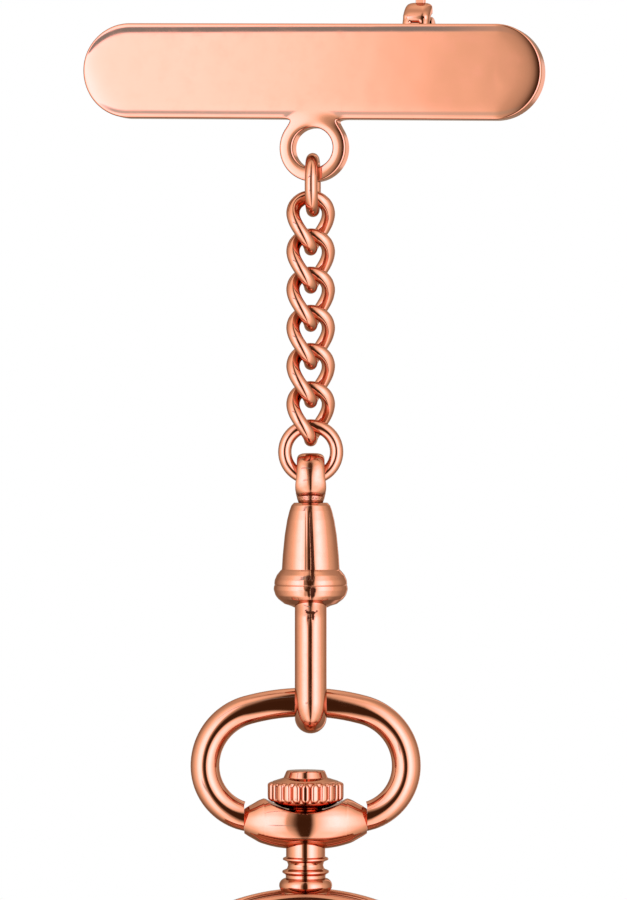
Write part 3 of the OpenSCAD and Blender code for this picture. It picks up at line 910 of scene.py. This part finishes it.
def pendant_neck(finish):
    """The turned neck: two thin rings, a bead, and a foot on the case."""
    neck = turned(filleted([(-66.0, 0), (-66.0, 1.69), (-67.85, 1.69, 0.06), (-67.95, 1.95, 0.08),
                            (-68.1, 1.99, 0.08), (-68.26, 1.62, 0.1), (-68.56, 1.5, 0.25),
                            (-68.88, 1.62, 0.1), (-69.04, 2.0, 0.08), (-69.2, 2.03, 0.08),
                            (-69.4, 1.73, 0.1), (-69.85, 1.7, 0.1), (-69.9, 0)], 4), 80)
    bead_z, bead_out, bead_r = -70.32, 1.66, 0.63
    bead = turned([(bead_z + bead_r * math.sin(math.radians(t)),
                    bead_out + bead_r * math.cos(math.radians(t)))
                   for t in range(90, -91, -9)] + [(bead_z - bead_r, 0)], 80)
    foot = turned(filleted([(-70.6, 0), (-70.6, 1.8), (-71.0, 1.86, 0.1), (-71.27, 1.86, 0.05),
                            (-71.27, 1.2, 0.05), (-72.35, 1.2), (-72.35, 0)], 3), 64)
    piece("pendant_neck", hung(joined(neck, bead, foot), WATCH_X), finish, "watch",
          ["pendant"], sharp=55)


def crown(finish):
    """A fluted crown with a bevelled button. Each flute is a raised bar with round ends."""
    per = 16
    count = CROWN["flutes"] * per
    pitch = 2 * math.pi * CROWN["r"] / CROWN["flutes"]
    low, tall, levels = -63.7, 2.36, 60
    body = [(low, 1.45), (-63.6, 1.9), (-63.48, 2.22), (-63.34, 2.5), (-63.18, 2.72),
            (-63.02, 2.86), (-62.82, 2.95), (-62.55, 2.98), (-62.0, 2.98), (-61.5, 2.98),
            (-61.4, 2.95), (-61.34, 2.86)]
    rings = []
    for k in range(levels):
        z = low + tall * k / (levels - 1)
        base = between(body, z)
        along = max(CROWN["low"] - z, z - CROWN["top"], 0)
        ring = []
        for i in range(count):
            t = 2 * math.pi * i / count
            across = ((i + per / 2) % per / per - 0.5) * pitch
            inside = max(CROWN["half"] - math.hypot(across, along), 0)
            depth = min(inside / CROWN["edge"], 1)
            r = base + CROWN["ridge"] * math.sqrt(1 - (1 - depth) ** 2)
            ring.append(Vector((r * math.cos(t), r * math.sin(t), z)))
        rings.append(ring)
    button = turned(filleted([(-60.4, 0), (-60.4, 1.6, 0.06), (-60.5, 1.69, 0.05),
                              (-60.98, 1.89, 0.05), (-61.03, 1.93, 0.03), (-61.3, 2.8, 0.1),
                              (-61.34, 2.86)], 4)[::-1], 120)
    under = turned(filleted([(-63.68, 1.5), (-63.72, 1.44, 0.05), (-63.88, 1.4, 0.05),
                             (-63.9, 0.8, 0.05), (-67.45, 0.8), (-67.45, 0)], 3)[::-1], 96)
    piece("crown_fluted", hung(loft(rings), WATCH_X), finish, "crown", ["crown"],
          sharp=60)
    piece("crown_button", hung(joined(button, under), WATCH_X), finish, "crown",
          ["crown"], sharp=30)


def cased(rows, side):
    """Turns rows of (distance towards the front or back, radius) about the case's axis. side is 1
    for the front and -1 for the back."""
    verts, faces = turned([(-side * y, r) for y, r in rows], 160, "Y")
    if side < 0:
        faces = [tuple(reversed(face)) for face in faces]
    return hung(moved((verts, faces), (0, 0, CASE["z"])), WATCH_X)


def case(finish):
    """The shut case: its band, and the same domed lid on its front and its back."""
    band, top, r = CASE["band"], CASE["y"], CASE["r"]
    half = [(0.8, 18.55, 0.1), (1.0, 18.7, 0.1), (band - 0.4, 18.7, 0.2), (band, 18.3), (band, 0)]
    rows = [(-y, *rest) for y, *rest in half[::-1]] + half
    piece("case_band", cased(filleted(rows, 4), 1), finish, "watch",
          ["case_middle"], sharp=50)
    low = band + 0.05
    rows = [(low, 0), (low, 17.8), (low, r - 0.3, 0.2), (low + 0.3, r, 0.25), (low + 0.75, r, 0.25),
            (low + 1.05, r - 0.3, 0.2), (low + 1.2, r - 0.9, 0.4), (low + 1.42, 16.9, 2)]
    inward = [1 - i / 24 for i in range(25)]
    rows += [(top - CASE["dome"] * t ** 2.2, CASE["dome_r"] * t) for t in inward]
    for name, node, side in (("lid", "front_cover", 1), ("back_lid", "back_cover", -1)):
        piece(name, cased(filleted(rows, 8), side), finish, "watch", [node],
              sharp=50)


def at(degrees):
    """The place of an azimuth on a ramp, 0 towards the camera and above 0 to its right."""
    return degrees / 360 + 0.5


def up(degrees):
    """The place of an elevation on a ramp."""
    return degrees / 180 + 0.5


def tinted(value):
    """A brightness as a ramp's colour, scaled down because a ramp ends at 1, so the world's
    strength scales it up again. Dim light is warm and bright light is cool."""
    warm = min(value / 0.2, 1) ** 0.35
    cool = max(1.2 * value, 1) ** 0.6
    return 0.295 * value, 0.247 * value * warm, 0.2 * value * warm * warm * cool


def light_rings(tree, azimuth, height):
    """The light round the object: a level ring, mixed upwards and downwards into two others. Each
    ring is rows of (azimuth, brightness)."""
    level = [(-180, 0.4), (-141, 0.25), (-120, 0.4), (-98, 0.65), (-80, 0.9), (-69, 1.15),
             (-58, 1.58), (-42, 1.88), (-35, 1.75), (-26.6, 1.53), (-24.6, 1.43), (-23.4, 1.14),
             (-22.8, 0.92), (-22.1, 0.71), (-21.4, 0.58), (-17.5, 0.4), (-12.7, 0.14), (-9, 0.04),
             (6.5, 0.04), (9, 0.42), (12, 0.9), (27, 1.78), (36, 1.92), (46, 1.75), (56, 1.42),
             (80, 0.72), (120, 0.35), (152, 0.3), (155, 1.15), (160, 1.15), (163, 0.4)]
    above = [(-180, 0.85), (-140, 0.5), (-110, 0.5), (-85, 0.75), (-65, 0.95), (-40, 0.95),
             (-25, 0.7), (-15, 0.35), (-10, 0.06), (6, 0.06), (11, 0.5), (15, 0.65), (25, 0.8),
             (45, 0.95), (65, 0.8), (85, 0.62), (110, 0.42), (140, 0.45), (180, 0.85)]
    below = [(-180, 0.1), (-125, 0.2), (-95, 0.5), (-70, 0.85), (-45, 1.35), (-25, 1.0),
             (-14, 0.5), (-9, 0.05), (6, 0.04), (10, 0.6), (16, 1.15), (45, 1.3), (70, 0.75),
             (95, 0.5), (125, 0.2), (180, 0.1)]
    light, upper, lower = (ramp(tree, azimuth, [(at(a), tinted(v)) for a, v in ring])
                           for ring in (level, above, below))
    for ring, steps in ((upper, [(15, 0), (37, 0.5), (60, 1)]),
                        (lower, [(-50, 1), (-31, 0.5), (-12, 0)])):
        share = ramp(tree, height, [(up(a), v) for a, v in steps], "EASE")
        light = mix_colour(tree, share, light, ring)
    return light


def studio_world():
    """The surrounding light as directions: soft boxes left and right of a dark gap at the camera,
    dim straight above and below, and a low grey card that the bar's lower border mirrors. The
    camera sees plain white."""
    world = bpy.data.worlds.new("studio")
    bpy.context.scene.world = world
    world.use_nodes = True
    tree = world.node_tree
    tree.nodes.clear()
    out = tree.nodes.new("ShaderNodeOutputWorld")
    way = tree.nodes.new("ShaderNodeTexCoord").outputs["Generated"]
    x, y, z = add(tree, "ShaderNodeSeparateXYZ", {0: way}).outputs
    round_turn = math_node(tree, "ARCTAN2", x, math_node(tree, "MULTIPLY", y, -1.0))
    azimuth = math_node(tree, "ADD", math_node(tree, "DIVIDE", round_turn, 2 * math.pi), 0.5)
    rise = math_node(tree, "ARCSINE", z, 0.0)
    height = math_node(tree, "ADD", math_node(tree, "DIVIDE", rise, math.pi), 0.5)
    light = light_rings(tree, azimuth, height)
    zenith = ramp(tree, height, [(up(68), 0), (up(88), 1)])
    light = mix_colour(tree, zenith, light, ZENITH)
    nadir = ramp(tree, height, [(up(-88), 1), (up(-65), 0)])
    light = mix_colour(tree, nadir, light, NADIR)
    wide = ramp(tree, azimuth, [(at(-44), 0), (at(-34), 0.8), (at(-25), 0.75), (at(-22), 0.3),
                                (at(-12), 0)])
    high = ramp(tree, height, [(up(-18), 0), (up(-15.5), 1), (up(-12.5), 1), (up(-10.5), 0)])
    card = math_node(tree, "MULTIPLY", wide, high)
    light = mix_colour(tree, card, light, LOW_CARD)
    path = tree.nodes.new("ShaderNodeLightPath").outputs
    light = mix_colour(tree, path["Is Diffuse Ray"], light, EVEN)
    again = math_node(tree, "GREATER_THAN", path["Glossy Depth"], 1.5)
    strength = add(tree, "ShaderNodeMapRange", {"Value": again, "To Min": MIRRORED_ONCE,
                                                "To Max": MIRRORED_AGAIN})
    glow = add(tree, "ShaderNodeBackground", {"Color": light, "Strength": strength.outputs[0]})
    white = add(tree, "ShaderNodeBackground", {"Color": (1, 1, 1, 1), "Strength": 1.0})
    mixed = add(tree, "ShaderNodeMixShader", {0: path["Is Camera Ray"], 1: glow.outputs[0],
                                              2: white.outputs[0]})
    tree.links.new(mixed.outputs[0], out.inputs["Surface"])


def staged(name, points, finish):
    """A flat piece of the studio, its points in millimetres."""
    mesh = bpy.data.meshes.new(name)
    mesh.from_pydata([tuple(c * MM for c in p) for p in points], [], [tuple(range(len(points)))])
    material = bpy.data.materials.new(finish)
    material.use_nodes = True
    mesh.materials.append(material)
    return new_object(name, mesh), material.node_tree


def floor():
    """A pale round floor, which the metal doesn't mirror."""
    reach, z = 450, -135
    points = [(a, b, z) for a, b in arc((0, 0), reach, 0, 352.5, 47)]
    obj, tree = staged("floor", points, "pale floor")
    shader = tree.nodes["Principled BSDF"]
    shader.inputs["Base Color"].default_value = (0.86, 0.86, 0.86, 1)
    shader.inputs["Roughness"].default_value = 0.9
    obj.visible_glossy = False


def grey_card():
    """A grey card with soft edges, in front of the bar, above it and to its left: the bar's upper
    border mirrors it as a thin grey line."""
    x0, x1, y, z0, z1 = -95, 2, -60, 12.2, 22
    obj, tree = staged("card", [(x0, y, z0), (x1, y, z0), (x1, y, z1), (x0, y, z1)], "grey card")
    tree.nodes.remove(tree.nodes["Principled BSDF"])
    place = tree.nodes.new("ShaderNodeTexCoord").outputs["Generated"]
    across, _, over = add(tree, "ShaderNodeSeparateXYZ", {0: place}).outputs
    wide = ramp(tree, across, [(0, 0), (0.2, 1), (0.83, 1), (1, 0)], "EASE")
    high = ramp(tree, over, [(0, 0), (0.22, 1), (0.75, 1), (1, 0)], "EASE")
    mask = math_node(tree, "MULTIPLY", wide, high)
    glow = add(tree, "ShaderNodeEmission", {"Color": HIGH_CARD, "Strength": 1.0})
    clear = tree.nodes.new("ShaderNodeBsdfTransparent")
    mixed = add(tree, "ShaderNodeMixShader", {0: mask, 1: clear.outputs[0], 2: glow.outputs[0]})
    tree.links.new(mixed.outputs[0], tree.nodes["Material Output"].inputs["Surface"])
    obj.visible_camera = False
    obj.visible_shadow = False


def camera():
    """Level, in front of the picture's middle, and as far away as frames the picture's height."""
    lens, sensor, picture_height = 200.0, 36, 77.8
    middle_x, middle_z = -0.14, -32.7
    away = picture_height * lens / sensor
    data = bpy.data.cameras.new("camera")
    data.lens = lens
    data.sensor_width = sensor
    data.clip_start = 0.01
    data.clip_end = 50
    obj = new_object("camera", data)
    obj.location = (middle_x * MM, (HANG_Y - away) * MM, middle_z * MM)
    obj.rotation_euler = (math.radians(90), 0, 0)
    bpy.context.scene.camera = obj


def main():
    bpy.context.scene.view_settings.view_transform = "Standard"
    polish = polish_group()
    bar_finish = rose_metal("bar rose plate", polish, 0.05, BAR_ROSE, ROSE, scratches=0.4,
                            wave=0.006)
    chain_finish = rose_metal("chain rose plate", polish, 0.07, wave=0.012, scale=3.5)
    clasp_finish = rose_metal("clasp rose plate", polish, 0.09, wave=0.015, scale=2.0, marked=True)
    bow_finish = rose_metal("bow rose plate", polish, 0.05, scratches=0.0)
    crown_finish = rose_metal("crown rose plate", polish, 0.06, scale=2.0)
    case_finish = rose_metal("case rose plate", polish, 0.07)
    for make in (bar_and_eye, catch_housing, pin_hinge, pin_stem, catch_roll):
        make(bar_finish)
    for make in (connecting_link, curb_chain, jump_ring):
        make(chain_finish)
    for make in (swivel_eye, clasp_bell, clasp_hook, clasp_ears, gate):
        make(clasp_finish)
    for make in (bow, pendant_barrel, pendant_neck):
        make(bow_finish)
    crown(crown_finish)
    case(case_finish)
    studio_world()
    floor()
    grey_card()
    camera()
    bpy.context.view_layer.update()


main()
